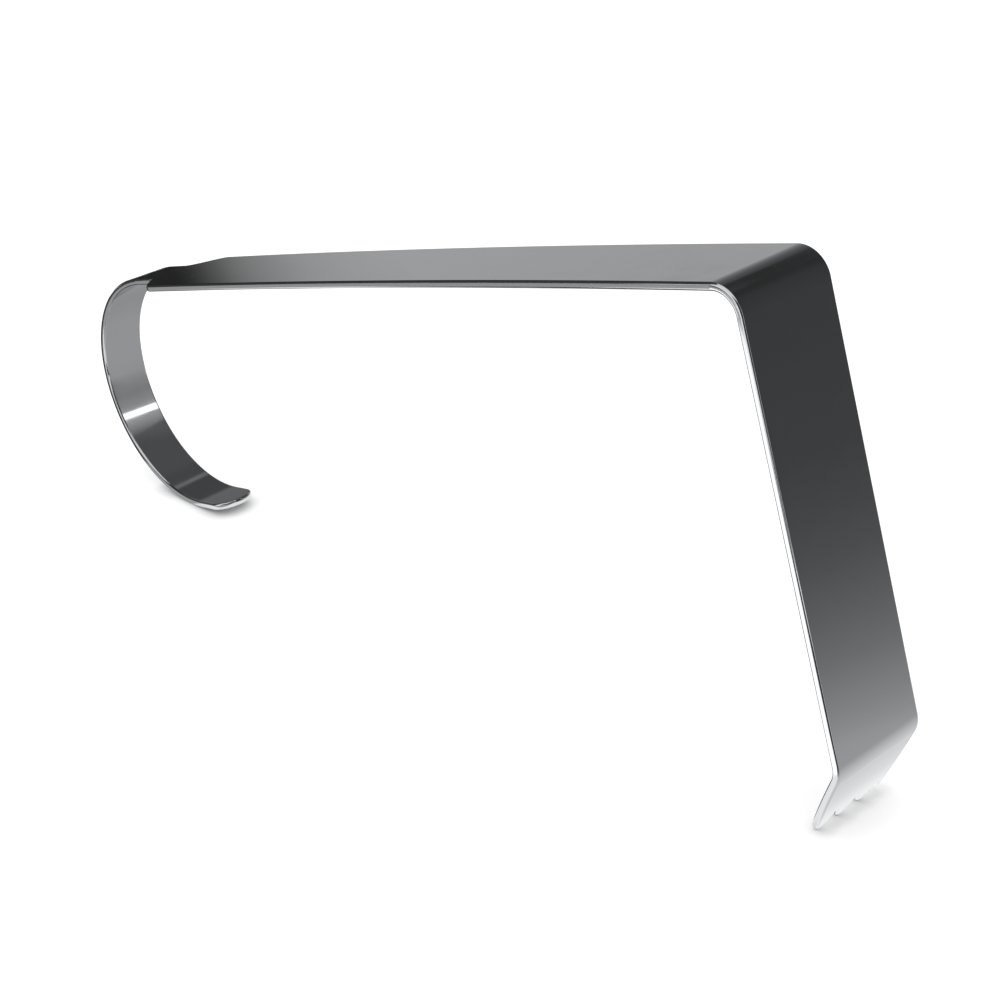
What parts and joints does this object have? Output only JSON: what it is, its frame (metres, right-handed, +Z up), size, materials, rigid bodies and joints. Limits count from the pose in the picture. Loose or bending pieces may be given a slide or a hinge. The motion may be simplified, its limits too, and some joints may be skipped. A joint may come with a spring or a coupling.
{
  "type": "hibbs retractor",
  "caption": "Hand-held surgical retractor bent from one steel strip: finger hook, flat shaft and a wide blade with a toothed, turned-in lip.",
  "frame": {"origin": "middle of the standing part's bounding box, at floor level, with the hook's underside and the tooth points on the floor", "axes": "+X from the hook to the blade, +Y across the strip, +Z up; the shaft leans down about 15 degrees towards the hook"},
  "size_m": [0.251, 0.0254, 0.1096],
  "materials": {
    "retractor": "satin, with the rounded edges a little brighter"
  },
  "bodies": {
    "root": {"retractor": "retractor"}
  },
  "joints": []
}
